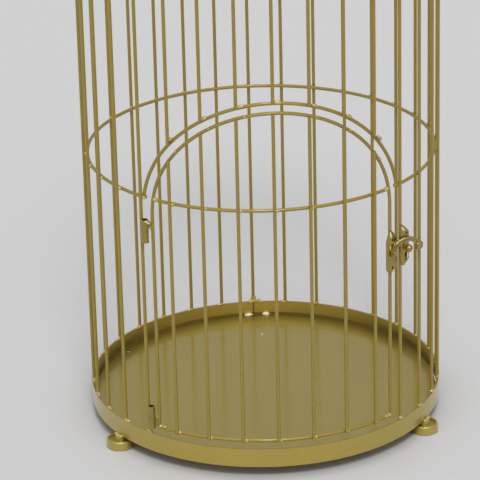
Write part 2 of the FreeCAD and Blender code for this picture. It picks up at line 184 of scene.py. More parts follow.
def make_floor():
    mesh = bpy.data.meshes.new("floor")
    corners = [(x * FLOOR_HALF, y * FLOOR_HALF, 0) for x, y in ((-1, -1), (1, -1), (1, 1), (-1, 1))]
    mesh.from_pydata(corners, [], [(0, 1, 2, 3)])
    floor = bpy.data.objects.new("floor", mesh)
    bpy.context.scene.collection.objects.link(floor)
    paper = bpy.data.materials.new("pale paper")
    paper.use_nodes = True
    shader = paper.node_tree.nodes["Principled BSDF"]
    shader.inputs["Base Color"].default_value = PAPER
    shader.inputs["Roughness"].default_value = PAPER_ROUGH
    shader.inputs["Specular IOR Level"].default_value = PAPER_GLOSS
    mesh.materials.append(paper)


make_floor()
print("floor", 2 * FLOOR_HALF, "metres wide")

# %% [markdown]
# ## The light
# The sky is dim at the horizon and brighter overhead, as in a studio with a lit ceiling. Three suns add the
# direction: one from high up for the small highlights on welds and feet, one from the front for the faces
# of the wires, and a very wide one, also from the front, which softens the shadow under the tray. A sun is
# used and not a lamp, because its light does not fall off, so the floor stays one even grey.

# %% Sky and suns
SKY_LOW = 0.205
SKY_RISE = 0.30
SKY_BEHIND = 0.14
SKY_WHITE = (1.0, 1.0, 1.0, 1)
# A sun has a name, the direction it comes from, a strength and a spread in degrees
SUNS = (
    ("high_sun", (0.02, 0.10, 1.0), 0.3, 12),
    ("front_sun", (0.02, -0.616, 0.788), 1.25, 15),
    ("soft_sun", (-0.10, -0.75, 0.62), 0.9, 120),
)


def math_node(tree, operation, *values):
    """A maths node whose inputs are sockets or plain numbers."""
    made = tree.nodes.new("ShaderNodeMath")
    made.operation = operation
    for slot, value in zip(made.inputs, values):
        if isinstance(value, (int, float)):
            slot.default_value = value
        else:
            tree.links.new(value, slot)
    return made.outputs["Value"]


def make_sky():
    """A room that is dim at the horizon, and brighter overhead and towards the back."""
    world = bpy.data.worlds.new("pale room")
    world.use_nodes = True
    tree = world.node_tree
    place = tree.nodes.new("ShaderNodeTexCoord")
    way = tree.nodes.new("ShaderNodeSeparateXYZ")
    tree.links.new(place.outputs["Generated"], way.inputs["Vector"])
    over = math_node(tree, "MAXIMUM", way.outputs["Z"], 0.0)
    behind = math_node(tree, "MAXIMUM", way.outputs["Y"], 0.0)
    rise = math_node(tree, "MULTIPLY_ADD", over, SKY_RISE, SKY_LOW)
    light = math_node(tree, "MULTIPLY_ADD", behind, SKY_BEHIND, rise)
    sky = tree.nodes["Background"]
    tree.links.new(light, sky.inputs["Strength"])
    sky.inputs["Color"].default_value = SKY_WHITE
    bpy.context.scene.world = world


def make_sun(name, comes_from, strength, spread):
    data = bpy.data.lights.new(name, "SUN")
    data.energy = strength
    data.angle = math.radians(spread)
    sun = bpy.data.objects.new(name, data)
    sun.rotation_euler = (-Vector(comes_from)).to_track_quat("-Z", "Y").to_euler()
    bpy.context.scene.collection.objects.link(sun)


make_sky()
for name, comes_from, strength, spread in SUNS:
    make_sun(name, comes_from, strength, spread)
bpy.context.scene.view_settings.view_transform = "Standard"

# %% [markdown]
# ## The paint
# The whole cage is sprayed with one metallic gold paint under a clear coat. Up close such paint is not
# one colour. The flakes lie unevenly, so it drifts between a greener and a browner gold, single flakes
# show as a fine sparkle, and the spray leaves an orange peel. These three belong together in one node
# group, which every finish uses with its own values.

# %% Nodes that the groups share
COLOR = "NodeSocketColor"
NUMBER = "NodeSocketFloat"


def new_group(name, takes, gives):
    """A shader group with named sockets of given kinds, and the nodes of its two ends."""
    group = bpy.data.node_groups.new(name, "ShaderNodeTree")
    for way, sockets in (("INPUT", takes), ("OUTPUT", gives)):
        for label, kind in sockets.items():
            group.interface.new_socket(name=label, in_out=way, socket_type=kind)
    print("group", name, "takes", list(takes), "and gives", list(gives))
    return group, group.nodes.new("NodeGroupInput"), group.nodes.new("NodeGroupOutput")


def noise_node(tree, place, scale, detail):
    """A noise texture over the object's own coordinates, with its scale taken from a socket."""
    made = tree.nodes.new("ShaderNodeTexNoise")
    made.inputs["Detail"].default_value = detail
    tree.links.new(place.outputs["Object"], made.inputs["Vector"])
    tree.links.new(scale, made.inputs["Scale"])
    return made.outputs["Fac"]


def mix_node(tree, share, first, second):
    """A mix of two colours, of which the second is a socket or four plain numbers."""
    made = tree.nodes.new("ShaderNodeMix")
    made.data_type = "RGBA"
    tree.links.new(share, made.inputs["Factor"])
    tree.links.new(first, made.inputs["A"])
    if isinstance(second, tuple):
        made.inputs["B"].default_value = second
    else:
        tree.links.new(second, made.inputs["B"])
    return made.outputs["Result"]


# %% Node group: sprayed gold
DRIFT_DETAIL = 4.0
FLAKE_DETAIL = 2.0
NOISE_MIDDLE = 0.5
BROWN_SHARE = 0.6
DRIFT_DULL = 0.12


def sprayed_group():
    takes = {"Gold": COLOR, "Brown": COLOR, "Drift scale": NUMBER, "Flake scale": NUMBER,
             "Flake": NUMBER, "Roughness": NUMBER}
    gives = {"Color": COLOR, "Roughness": NUMBER, "Peel": NUMBER}
    group, given, out = new_group("Sprayed gold", takes, gives)
    place = group.nodes.new("ShaderNodeTexCoord")
    drift = noise_node(group, place, given.outputs["Drift scale"], DRIFT_DETAIL)
    flake = noise_node(group, place, given.outputs["Flake scale"], FLAKE_DETAIL)
    browner = math_node(group, "MULTIPLY", drift, BROWN_SHARE)
    paint = mix_node(group, browner, given.outputs["Gold"], given.outputs["Brown"])
    centred = math_node(group, "SUBTRACT", flake, NOISE_MIDDLE)
    sparkle = math_node(group, "MULTIPLY_ADD", centred, given.outputs["Flake"], 1.0)
    bright = group.nodes.new("ShaderNodeVectorMath")
    bright.operation = "SCALE"
    group.links.new(paint, bright.inputs[0])
    group.links.new(sparkle, bright.inputs["Scale"])
    group.links.new(bright.outputs["Vector"], out.inputs["Color"])
    dull = math_node(group, "MULTIPLY_ADD", drift, DRIFT_DULL, given.outputs["Roughness"])
    group.links.new(dull, out.inputs["Roughness"])
    group.links.new(flake, out.inputs["Peel"])
    return group


SPRAYED = sprayed_group()

# %% [markdown]
# ## Finishes
# Wire, sheet, fittings and welds take the same paint differently. On thin wire it pools and dulls, on the
# sheet it lies smooth enough to mirror the bars, and on the small fittings it runs thin and shines. The band
# and the feet get paler copies of their gold as painted light, and the welds a paler gold that is in part a
# painted highlight. A pale finish is a painted highlight on tacks, ridges and edges, the dull brown of the
# tray's corner is painted shade, and so is the near-black of the welds behind the latch. Each finish is a
# Principled shader with a clear coat, fed by the shared group.

# %% Gold finishes
GOLD = (0.365, 0.265, 0.036, 1)
BROWN = (0.29, 0.205, 0.024, 1)
SHEET = (0.470, 0.352, 0.062, 1)
SHEET_BROWN = (0.402, 0.300, 0.052, 1)
# The band's paler copy of the sheet gold is painted light
BAND = (0.515, 0.386, 0.068, 1)
BAND_BROWN = (0.440, 0.329, 0.057, 1)
FITTING = (0.37, 0.265, 0.034, 1)
FITTING_BROWN = (0.25, 0.175, 0.020, 1)
# The feet's paler copy of the fitting gold is painted light
FOOT = (0.52, 0.395, 0.085, 1)
FOOT_BROWN = (0.38, 0.28, 0.05, 1)
# Weld gold is paler than the wire gold, in part as a painted highlight on the beads
WELD = (0.62, 0.50, 0.16, 1)
WELD_BROWN = (0.46, 0.35, 0.08, 1)
# Pale gold that stands in for highlights: a painted highlight on tacks, spatter, ridges, the hinge run and
# the hook's edge
PALE_HIGHLIGHT = (0.93, 0.86, 0.54, 1)
PALE_HIGHLIGHT_BROWN = (0.80, 0.70, 0.36, 1)
# Dull dark brown for the corner fillet: painted shade
SHADED_FILLET = (0.135, 0.090, 0.012, 1)
SHADED_FILLET_BROWN = (0.095, 0.062, 0.008, 1)
# Near-black for the welds behind the plates: painted shade that makes the keyhole look dark
SHADED_BACKING = (0.045, 0.033, 0.012, 1)
SHADED_BACKING_BROWN = (0.025, 0.018, 0.008, 1)
COAT_IOR = 1.5


def gold_finish(name, gold, brown, drift, flakes, sparkle, roughness, peel, metallic, gloss, coat):
    """A paint: drift and flakes are noise scales, peel is a depth in mm, coat is (weight, roughness)."""
    material = bpy.data.materials.new(name)
    material.use_nodes = True
    tree = material.node_tree
    shader = tree.nodes["Principled BSDF"]
    paint = tree.nodes.new("ShaderNodeGroup")
    paint.name = "paint"
    paint.node_tree = SPRAYED
    paint.inputs["Gold"].default_value = gold
    paint.inputs["Brown"].default_value = brown
    paint.inputs["Drift scale"].default_value = drift
    paint.inputs["Flake scale"].default_value = flakes
    paint.inputs["Flake"].default_value = sparkle
    paint.inputs["Roughness"].default_value = roughness
    tree.links.new(paint.outputs["Color"], shader.inputs["Base Color"])
    tree.links.new(paint.outputs["Roughness"], shader.inputs["Roughness"])
    bump = tree.nodes.new("ShaderNodeBump")
    bump.inputs["Strength"].default_value = 1.0
    bump.inputs["Distance"].default_value = peel * MM
    tree.links.new(paint.outputs["Peel"], bump.inputs["Height"])
    tree.links.new(bump.outputs["Normal"], shader.inputs["Normal"])
    shader.inputs["Metallic"].default_value = metallic
    shader.inputs["Specular IOR Level"].default_value = gloss
    shader.inputs["Coat Weight"].default_value = coat[0]
    shader.inputs["Coat Roughness"].default_value = coat[1]
    shader.inputs["Coat IOR"].default_value = COAT_IOR
    return material


WIRE_GOLD = gold_finish(
    "gold wire", GOLD, BROWN, drift=90.0, flakes=900.0, sparkle=0.5, roughness=0.42,
    peel=0.06, metallic=0.3, gloss=0.15, coat=(0.85, 0.10))
SHEET_GOLD = gold_finish(
    "gold sheet", SHEET, SHEET_BROWN, drift=25.0, flakes=1100.0, sparkle=0.35, roughness=0.38,
    peel=0.02, metallic=0.7, gloss=0.2, coat=(1.0, 0.12))
# Paler copy of the sheet finish for the band: painted light
LIT_BAND_GOLD = gold_finish(
    "gold band with painted light", BAND, BAND_BROWN, drift=25.0, flakes=1100.0, sparkle=0.35, roughness=0.38,
    peel=0.02, metallic=0.7, gloss=0.2, coat=(1.0, 0.12))
FITTING_GOLD = gold_finish(
    "gold fittings", FITTING, FITTING_BROWN, drift=200.0, flakes=700.0, sparkle=0.4, roughness=0.30,
    peel=0.12, metallic=0.75, gloss=0.5, coat=(1.0, 0.12))
# Paler finish for the feet: painted light
LIT_FOOT_GOLD = gold_finish(
    "gold feet with painted light", FOOT, FOOT_BROWN, drift=200.0, flakes=900.0, sparkle=0.5, roughness=0.34,
    peel=0.08, metallic=0.55, gloss=0.5, coat=(1.0, 0.22))
# The welds' paler gold is in part a painted highlight
WELD_GOLD = gold_finish(
    "gold weld", WELD, WELD_BROWN, drift=300.0, flakes=1200.0, sparkle=0.4, roughness=0.28,
    peel=0.08, metallic=0.45, gloss=0.5, coat=(1.0, 0.10))
# Pale finish for painted highlights
PALE_HIGHLIGHT_METAL = gold_finish(
    "painted highlight metal", PALE_HIGHLIGHT, PALE_HIGHLIGHT_BROWN, drift=400.0, flakes=1500.0, sparkle=0.3, roughness=0.34,
    peel=0.06, metallic=0.2, gloss=0.5, coat=(1.0, 0.15))
# Matte dark finish of the corner fillet: painted shade
SHADED_FILLET_PAINT = gold_finish(
    "fillet in painted shade", SHADED_FILLET, SHADED_FILLET_BROWN, drift=60.0, flakes=900.0, sparkle=0.4, roughness=0.75,
    peel=0.04, metallic=0.0, gloss=0.05, coat=(0.0, 0.3))
# Near-black finish of the welds behind the plates: painted shade
SHADED_BACKING_METAL = gold_finish(
    "weld in painted shade", SHADED_BACKING, SHADED_BACKING_BROWN, drift=300.0, flakes=1500.0, sparkle=0.6, roughness=0.5,
    peel=0.1, metallic=0.5, gloss=0.3, coat=(0.0, 0.2))
print("finishes", [material.name for material in bpy.data.materials])

# %% [markdown]
# ## Painted shade in the tray
# Shade is painted into the tray's colour: in the corner between floor and band, in the seam at the back,
# on the floor's back where it mirrors the dark back wall, low on the band's two sides, and along the band's
# top edge. The shade is worked out from the place on the tray: how far a point is from the axis, how
# high, and how far to the side or the back. Floor and band share it, so it is a node group of its own,
# set between the paint and the shader.

# %% Where the tray is dark
BAND_LOW, BAND_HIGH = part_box("base_band")
BAND_RADIUS = BAND_HIGH.x
BAND_INSIDE = min(vertex.co.xy.length for vertex in nodes["base_band"].data.vertices)
FLOOR_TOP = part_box("base_floor")[1].z
# Colour of the painted shade, in the tray and in the holes of the fittings
SHADE = (0.05, 0.032, 0.004, 1)
CORNER_SHADE = 0.70
CORNER_WIDE = 3.6 * MM
CORNER_HIGH = 2.4 * MM
# Painted shade on the floor's back, where the floor mirrors the dark back wall
BACK_FLOOR_SHADE = 0.65
BACK_FLOOR_WIDE = 20 * MM
BACK_FULL = 0.85 * BAND_INSIDE
BACK_NONE = -0.2 * BAND_INSIDE
# Painted shade low on the band's two sides
SIDE_SHADE = 0.7
SIDE_HIGH = 9.5 * MM
SIDE_FULL = 0.92 * BAND_INSIDE
SIDE_NONE = 0.45 * BAND_INSIDE
# Painted shade in the seam at the back
SEAM_SHADE = 0.97
SEAM_HALF = 0.9 * MM
SEAM_CORE = 0.3 * SEAM_HALF
# Painted shade along the band's top edge
RIM_SHADE = 0.2
RIM_EDGE = 0.25 * MM
WALL_SLACK = 0.2 * MM
print("tray inside radius", round(BAND_INSIDE / MM, 2), "floor at", round(FLOOR_TOP / MM, 2))


# %% Masks over a place
def vector_node(tree, operation, first, second=None):
    """A vector maths node on a socket, with a fixed vector as its second input if one is given."""
    made = tree.nodes.new("ShaderNodeVectorMath")
    made.operation = operation
    tree.links.new(first, made.inputs[0])
    if second is not None:
        made.inputs[1].default_value = second
    return made


def fade(tree, value, dark_at, clear_at):
    """One at the first value, falling smoothly to nothing at the second."""
    made = tree.nodes.new("ShaderNodeMapRange")
    made.interpolation_type = "SMOOTHSTEP"
    made.inputs["From Min"].default_value = clear_at
    made.inputs["From Max"].default_value = dark_at
    tree.links.new(value, made.inputs["Value"])
    return made.outputs["Result"]


def chain(tree, operation, *values):
    """Takes the values through one operation, two at a time."""
    total = values[0]
    for value in values[1:]:
        total = math_node(tree, operation, total, value)
    return total


# %% Node group: painted tray shade
def tray_shade(tree):
    """How much painted shade a point of the tray gets: nothing in the open, one at the darkest."""
    place = tree.nodes.new("ShaderNodeTexCoord")
    axes = tree.nodes.new("ShaderNodeSeparateXYZ")
    tree.links.new(place.outputs["Object"], axes.inputs["Vector"])
    x, y, z = axes.outputs
    flat = tree.nodes.new("ShaderNodeCombineXYZ")
    tree.links.new(x, flat.inputs["X"])
    tree.links.new(y, flat.inputs["Y"])
    radius = vector_node(tree, "LENGTH", flat.outputs["Vector"]).outputs["Value"]
    aside = math_node(tree, "ABSOLUTE", x)
    near_wall = fade(tree, radius, BAND_INSIDE, BAND_INSIDE - CORNER_WIDE)
    near_floor = fade(tree, z, FLOOR_TOP, FLOOR_TOP + CORNER_HIGH)
    corner = chain(tree, "MULTIPLY", near_wall, near_floor, CORNER_SHADE)
    outer_floor = fade(tree, radius, BAND_INSIDE - CORNER_WIDE, BAND_INSIDE - BACK_FLOOR_WIDE)
    to_back = fade(tree, y, BACK_FULL, BACK_NONE)
    back_floor_shade = chain(tree, "MULTIPLY", outer_floor, near_floor, to_back, BACK_FLOOR_SHADE)
    at_side = fade(tree, aside, SIDE_FULL, SIDE_NONE)
    low_wall = fade(tree, z, FLOOR_TOP + CORNER_HIGH, FLOOR_TOP + SIDE_HIGH)
    side = chain(tree, "MULTIPLY", at_side, low_wall, near_wall, SIDE_SHADE)
    at_seam = fade(tree, aside, SEAM_CORE, SEAM_HALF)
    at_back = math_node(tree, "GREATER_THAN", y, BAND_INSIDE - WALL_SLACK)
    seam = chain(tree, "MULTIPLY", at_seam, at_back, SEAM_SHADE)
    inside = math_node(tree, "LESS_THAN", radius, BAND_INSIDE + WALL_SLACK)
    shade = math_node(tree, "MULTIPLY", chain(tree, "MAXIMUM", corner, back_floor_shade, side, seam), inside)
    on_rim = math_node(tree, "COMPARE", z, BAND_HIGH.z, RIM_EDGE)
    return math_node(tree, "MAXIMUM", shade, math_node(tree, "MULTIPLY", on_rim, RIM_SHADE))


def tray_shade_group():
    group, given, out = new_group("Painted tray shade", {"Color": COLOR}, {"Color": COLOR})
    shaded = mix_node(group, tray_shade(group), given.outputs["Color"], SHADE)
    group.links.new(shaded, out.inputs["Color"])
    return group


def shade_corners(material):
    tree = material.node_tree
    corners = tree.nodes.new("ShaderNodeGroup")
    corners.node_tree = TRAY_SHADE_GROUP
    tree.links.new(tree.nodes["paint"].outputs["Color"], corners.inputs["Color"])
    tree.links.new(corners.outputs["Color"], tree.nodes["Principled BSDF"].inputs["Base Color"])


TRAY_SHADE_GROUP = tray_shade_group()
shade_corners(SHEET_GOLD)
shade_corners(LIT_BAND_GOLD)

# %% [markdown]
# ## Painted shade in the holes of the fittings
# The nail holes of the latch and the open ends of the hinge tubes are too narrow for light to reach in, so
# their walls get painted shade. A hole is a straight line with a radius: the cross product with the line's
# direction gives how far a point is from it, so one mask paints shade on the walls of a
# hole however deep it is.

# %% Lines of the latch and the hinges
UP = Vector((0, 0, 1))
joints = {joint["name"]: joint for joint in frame["record"]["behaviour"]["joints"]}
LATCH_OUT = Vector(joints["hook_swing"]["axis"]).normalized()
LATCH_SIDE = UP.cross(LATCH_OUT)
LATCH_LEVEL = joints["hook_swing"]["pos_m"][2]
PIVOT_ASIDE = Vector(joints["hook_swing"]["pos_m"]).dot(LATCH_SIDE)
HINGE_AT = sum(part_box("hinge_pins"), Vector()) / 2
PIN_HALF = (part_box("hinge_pins")[1].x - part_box("hinge_pins")[0].x) / 2
NAIL_HALF = 0.9 * MM
HOLE_EDGE = 0.08 * MM
HOOK_NAIL_RISES = (9.8 * MM, -11.6 * MM)
CATCH_NAIL_ASIDE = 4.2 * MM
CATCH_NAIL_RISE = 12.0 * MM


def on_latch(aside, rise, out):
    """A point of the latch: across and up from the middle of its stile, and out from the axis."""
    return LATCH_SIDE * aside + UP * (LATCH_LEVEL + rise) + LATCH_OUT * out


HOOK_NAILS = [on_latch(PIVOT_ASIDE, rise, 0) for rise in HOOK_NAIL_RISES]
CATCH_NAIL = on_latch(CATCH_NAIL_ASIDE, CATCH_NAIL_RISE, 0)
print("hinge line at", [round(value / MM, 1) for value in HINGE_AT], "pin half", round(PIN_HALF / MM, 2))


# %% Holes in the paint of the fittings
def in_hole(tree, point, middle, way, half):
    """One for points nearer than half to the straight line through the middle."""
    away = vector_node(tree, "SUBTRACT", point, middle)
    across = vector_node(tree, "CROSS_PRODUCT", away.outputs["Vector"], way)
    distance = vector_node(tree, "LENGTH", across.outputs["Vector"])
    return math_node(tree, "LESS_THAN", distance.outputs["Value"], half + HOLE_EDGE)


def shade_holes(material):
    tree = material.node_tree
    point = tree.nodes.new("ShaderNodeTexCoord").outputs["Object"]
    holes = [in_hole(tree, point, HINGE_AT, UP, PIN_HALF)]
    for nail in HOOK_NAILS + [CATCH_NAIL]:
        holes.append(in_hole(tree, point, nail, LATCH_OUT, NAIL_HALF))
    # Painted shade on the hole walls and on the pins' top faces
    mask = math_node(tree, "MULTIPLY", chain(tree, "MAXIMUM", *holes), SEAM_SHADE)
    shaded = mix_node(tree, mask, tree.nodes["paint"].outputs["Color"], SHADE)
    tree.links.new(shaded, tree.nodes["Principled BSDF"].inputs["Base Color"])
    print("dark holes", len(holes))


shade_holes(FITTING_GOLD)

# %% [markdown]
# ## Painting the imported nodes
# The imported wires and fittings keep their own meshes: each only needs its finish put in its slot. The
# record says which slot a node belongs to, so the list is read and not written out. The feet and the band
# catch more light than the rest of their slot, so they get paler finishes of their own: painted light.

# %% Paint by slot
FINISH_OF_SLOT = {"gold_wire": WIRE_GOLD, "gold_sheet": SHEET_GOLD, "gold_fittings": FITTING_GOLD}
FINISH_OF_NODE = {"feet": LIT_FOOT_GOLD, "base_band": LIT_BAND_GOLD}
for part in frame["record"]["subparts"]:
    mesh = nodes[part["node"]].data
    mesh.materials.clear()
    mesh.materials.append(FINISH_OF_NODE.get(part["node"], FINISH_OF_SLOT[part["material_slot"]]))

# %% [markdown]
# ## Weld beads
# The cage is welded by hand, always from the same side, so a small bright lump of metal sits on the
# right of every bar where it meets a ring, an arch or the tray. A bead is an icosphere stretched along
# its seam and made uneven with noise. All the beads of one kind share one mesh.

# %% A mesh of beads
dice = random.Random(12)
BEAD_ROUGH = 0.24
BEAD_GRAIN = 1.4
NOISE_REACH = 40
ROUNDS = 3
SMALLEST = 0.85
LARGEST = 1.2


def add_bead(lumps, centre, along, up, size, rough=BEAD_ROUGH):
    """One lump: size is its length along the seam, its width and its height."""
    side = up.cross(along).normalized()
    shift = Vector((dice.random(), dice.random(), dice.random())) * NOISE_REACH
    made = bmesh.ops.create_icosphere(lumps, subdivisions=ROUNDS, radius=1.0)
    for vertex in made["verts"]:
        ball = vertex.co * (1 + rough * noise.noise(vertex.co * BEAD_GRAIN + shift))
        reach = along * (ball.x * size[0] / 2)
        reach += side * (ball.y * size[1] / 2)
        reach += up * (ball.z * size[2] / 2)
        vertex.co = centre + reach


def uneven(size):
    """A bead's size in millimetres, a little larger or smaller each time."""
    return [length * MM * dice.uniform(SMALLEST, LARGEST) for length in size]


def add_piece(name, made, body, finish=WELD_GOLD, smooth=True):
    """Makes the mesh a piece of its own, which rides on a body and has a finish."""
    mesh = bpy.data.meshes.new(name)
    made.to_mesh(mesh)
    made.free()
    mesh.polygons.foreach_set("use_smooth", [smooth] * len(mesh.polygons))
    mesh.materials.append(finish)
    piece = bpy.data.objects.new(name, mesh)
    bpy.context.scene.collection.objects.link(piece)
    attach(piece, body)
    print(name, len(mesh.polygons), "faces")
    return piece


# %% [markdown]
# ## Welds on the rings
# Each upright touches the inside rings at one point. The bead fills the corner beside that point, so its
# middle lies on the touching circle, a little more than a wire's radius past the bar.

# %% Ring welds
WELD_PAST = 1.5 * MM
WELD_TURN = math.degrees(WELD_PAST / BAR_RADIUS)
RING_BEAD = (3.2, 2.5, 2.7)
RING_BEAD_LOW = -0.2
RING_BEAD_HIGH = 0.5


def tangent(angle):
    """Direction along a ring, the way that the angle grows."""
    return around(angle + 90, 1.0, 0.0)


def ring_welds(name, bars, level, body):
    lumps = bmesh.new()
    for bar in bars:
        angle = bar_angle(bar)
        rise = dice.uniform(RING_BEAD_LOW, RING_BEAD_HIGH) * MM
        centre = around(angle + WELD_TURN, TOUCH_RADIUS, level + rise)
        add_bead(lumps, centre, tangent(angle), UP, uneven(RING_BEAD))
    add_piece(name, lumps, body)


ring_welds("mid_ring_welds", cage_bars, MID_LEVEL, "cage")
ring_welds("shoulder_ring_welds", cage_bars + upper_bars, SHOULDER_LEVEL, "cage")
ring_welds("door_ring_welds", door_bars, MID_LEVEL, "door")
ring_welds("door_rail_welds", door_bars, RAIL_LEVEL, "door")

# %% [markdown]
# ## Welds on the arches
# The bars over the doorway end on its arch, and the door's own bars end under the door's arch. The welder
# laid one bead beside each end, on the arch. An arch is known by its top and its radius, both measured on
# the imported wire, and those give its height and its slope at any bar.

# %% Arch welds
doorway_foot = stile_foot("doorway_arch", 1)
doorway_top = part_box("doorway_arch")[1].z - WIRE / 2
doorway_rise = doorway_top - doorway_foot.z
DOORWAY_ARCH = (doorway_top, (doorway_foot.x ** 2 + doorway_rise ** 2) / (2 * doorway_rise))
DOOR_ARCH = (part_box("door_frame")[1].z - WIRE / 2, stile_foot("door_frame", 1).x)
DOORWAY_BEAD = (5.2, 2.6, 2.5)
DOOR_BEAD = (2.0, 2.0, 1.9)
ONE_DEGREE = math.radians(RING_RADIUS)


def on_arch(arch, angle):
    """Height of an arch, given as (top, radius), at this angle."""
    top, radius = arch
    aside = RING_RADIUS * math.sin(math.radians(angle))
    return top - radius + math.sqrt(radius ** 2 - aside ** 2)


def arch_welds(name, bars, arch, body, bead, past, radius, lift):
    """One bead on the arch for each bar: past is how far to the right of the bar its middle lies."""
    lumps = bmesh.new()
    for bar in bars:
        angle = bar_angle(bar) + math.degrees(past / BAR_RADIUS)
        level = on_arch(arch, angle)
        slope = UP * (on_arch(arch, angle + 1) - level) + tangent(angle) * ONE_DEGREE
        along = slope.normalized()
        normal = (UP - along * along.z).normalized()
        add_bead(lumps, around(angle, radius, level) + normal * lift, along, normal, uneven(bead))
    add_piece(name, lumps, body)


arch_welds("doorway_arch_welds", upper_bars, DOORWAY_ARCH, "cage", DOORWAY_BEAD,
           past=1.4 * WIRE, radius=BAR_RADIUS, lift=0.6 * WIRE)
arch_welds("door_arch_welds", door_bars, DOOR_ARCH, "door", DOOR_BEAD,
           past=2.3 * WIRE, radius=TOUCH_RADIUS, lift=0.2 * WIRE)

# %% [markdown]
# ## Welds on the tray's edge
# A bar stands on the narrow edge of the tray's band, so its weld runs along that edge as a low fillet, and
# a collar closes round the bar. The seam of the band is at the back, under the middle bar, and has the
# heaviest weld of all: a heap at the bar and a row of beads down the outside.

# %% Bar feet and seam
BAR_BEAD = (5.2, 2.4, 2.2)
BAR_BEAD_RISE = 0.3 * MM
COLLAR = (3.5, 3.1, 3.0)
COLLAR_RISE = 0.9 * MM
SEAM_ANGLE = 180.0
# Each lump of the heap is (along the edge, up, size) in millimetres
SEAM_HEAP = ((0.0, 1.6, 5.0), (-0.2, 4.0, 3.8), (-2.4, 1.3, 4.4),
             (-4.4, 0.5, 3.8), (-6.2, 0.1, 2.8), (2.2, 0.4, 3.0))
HEAP_DEEP = 2.6
HEAP_FLAT = 0.8
SEAM_BEAD = (2.9, 0.8, 2.2)
SEAM_BEADS = 7


def bar_foot_welds():
    lumps = bmesh.new()
    for bar in cage_bars:
        angle = bar_angle(bar)
        centre = around(angle + WELD_TURN, BAR_RADIUS, TRAY_TOP + BAR_BEAD_RISE)
        add_bead(lumps, centre, tangent(angle), UP, uneven(BAR_BEAD))
        collar = around(angle, BAR_RADIUS, TRAY_TOP + COLLAR_RISE)
        add_bead(lumps, collar, tangent(angle), UP, uneven(COLLAR))
    add_piece("bar_foot_welds", lumps, "cage")


def seam_welds():
    lumps = bmesh.new()
    for aside, rise, size in SEAM_HEAP:
        angle = SEAM_ANGLE + math.degrees(aside * MM / BAR_RADIUS)
        centre = around(angle, BAR_RADIUS, TRAY_TOP + rise * MM)
        add_bead(lumps, centre, tangent(angle), UP, uneven((size, HEAP_DEEP, size * HEAP_FLAT)))
    for step in range(SEAM_BEADS):
        level = BAND_LOW.z + (step + 0.5) * (BAND_HIGH.z - BAND_LOW.z) / SEAM_BEADS
        centre = around(SEAM_ANGLE, BAND_RADIUS, level)
        add_bead(lumps, centre, UP, tangent(SEAM_ANGLE), uneven(SEAM_BEAD))
    add_piece("seam_welds", lumps, "cage")


bar_foot_welds()
seam_welds()

# %% [markdown]
# ## Tacks and spatter on the floor
# The floor is held by two long tacks in the corner beside the seam, and the torch left one ball of spatter
# on it. All three are flattened beads with a pale finish, which is a painted highlight.

# %% Floor tacks and spatter
TACK_TURNS = (-4.3, 1.9)
TACK = (7.0, 4.6, 2.8)
TACK_IN = 1.4 * MM
TACK_RISE = 0.6 * MM
SPATTER = (1.7, 1.5, 1.0)
SPATTER_IN = 39 * MM
SPATTER_ASIDE = 4.0 * MM
SPATTER_RISE = 0.2 * MM


def floor_tacks():
    lumps = bmesh.new()
    for turn in TACK_TURNS:
        centre = around(SEAM_ANGLE + turn, BAND_INSIDE - TACK_IN, FLOOR_TOP + TACK_RISE)
        add_bead(lumps, centre, tangent(SEAM_ANGLE + turn), UP, uneven(TACK))
    # The tacks' pale finish is a painted highlight
    add_piece("floor_tacks", lumps, "cage", PALE_HIGHLIGHT_METAL)


def spatter():
    lumps = bmesh.new()
    centre = Vector((SPATTER_ASIDE, BAND_INSIDE - SPATTER_IN, FLOOR_TOP + SPATTER_RISE))
    add_bead(lumps, centre, Vector((1, 0, 0)), UP, uneven(SPATTER))
    add_piece("floor_spatter", lumps, "cage", PALE_HIGHLIGHT_METAL)


floor_tacks()
spatter()

# %% [markdown]
# ## The tray's floor
# The floor was cut by hand, and two short stretches of its edge came out straight. The band is round, so
# each leaves a thin slit through which the paper under the cage shows white. A flat is a chord: the edge
# is drawn in to it by one cosine over another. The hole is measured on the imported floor.

# %% Floor with two flats
# Each flat is (angle of its middle, half its turn) in degrees
FLATS = ((-101.0, 6.0), (90.0, 8.5))
FLOOR_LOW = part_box("base_floor")[0].z
FLOOR_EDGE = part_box("base_floor")[1].x
EDGE_STEPS = 360
HOLE_STEPS = 32
EDGE_SLACK = 0.5 * MM


def edge_loop():
    """Places on the floor's edge, going round."""
    places = []
    for step in range(EDGE_STEPS):
        angle = 360 * step / EDGE_STEPS - 180
        radius = FLOOR_EDGE
        for middle, half in FLATS:
            if abs(angle - middle) < half:
                radius *= math.cos(math.radians(half)) / math.cos(math.radians(angle - middle))
        places.append(around(angle, radius, 0))
    return places


def hole_loop():
    """Places on the edge of the floor's small hole, going round."""
    corners = [vertex.co for vertex in nodes["base_floor"].data.vertices]
    rim = [corner for corner in corners if corner.xy.length < FLOOR_EDGE - EDGE_SLACK]
    low = Vector((min(point.x for point in rim), min(point.y for point in rim), 0))
    high = Vector((max(point.x for point in rim), max(point.y for point in rim), 0))
    middle = (low + high) / 2
    half = (high - low).x / 2
    return [middle + around(360 * step / HOLE_STEPS, half, 0) for step in range(HOLE_STEPS)]


